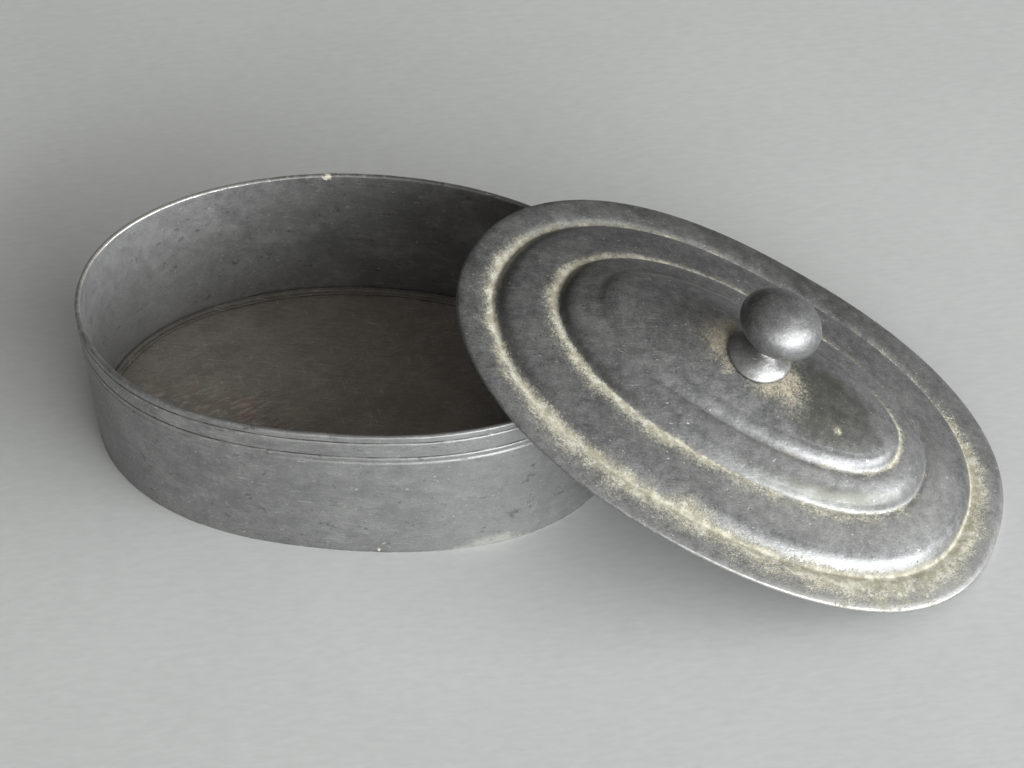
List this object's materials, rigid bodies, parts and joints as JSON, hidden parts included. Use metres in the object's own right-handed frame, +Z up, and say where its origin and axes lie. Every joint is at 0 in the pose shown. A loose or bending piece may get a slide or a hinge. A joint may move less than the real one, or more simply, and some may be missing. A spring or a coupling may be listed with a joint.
{
  "type": "lidded box",
  "caption": "Oval pewter lidded sugar box with straight walls and incised lines under the rim; the stepped, domed lid with a ball knob leans on the rim",
  "frame": {"origin": "centre of the flat underside of the box, on the surface it stands on", "axes": "+X along the long axis of the box toward the leaning lid, +Z up, +Y away from the side where the lid slopes nearer"},
  "size_m": [0.2118, 0.0999, 0.0551],
  "materials": {
    "wall_pewter": "dull pewter, finely scratched and pitted",
    "floor_pewter": "dark stained pewter",
    "floor_solder": "dark solder run",
    "seam_solder": "dull solder",
    "lid_pewter": "dull pewter with pale residue in the creases",
    "bezel_pewter": "dull pewter",
    "bezel_solder": "dull solder",
    "foot_pewter": "worn satin pewter",
    "knob_pewter": "handled, half-bright pewter",
    "washer_pewter": "dull pewter"
  },
  "bodies": {
    "box": {"side_wall": "wall_pewter", "base_plate": "floor_pewter", "floor_solder_fillet": "floor_solder", "wall_seam_solder": "seam_solder"},
    "lid": {"lid_cover": "lid_pewter", "lid_bezel_ring": "bezel_pewter", "bezel_solder_fillet": "bezel_solder", "knob_foot": "foot_pewter", "knob_ball": "knob_pewter", "knob_washer": "washer_pewter"}
  },
  "joints": [
    {"name": "lid_lift", "type": "slide", "parent": "box", "child": "lid", "axis": [0, 0, 1], "range_m": [0, 0.08]}
  ]
}
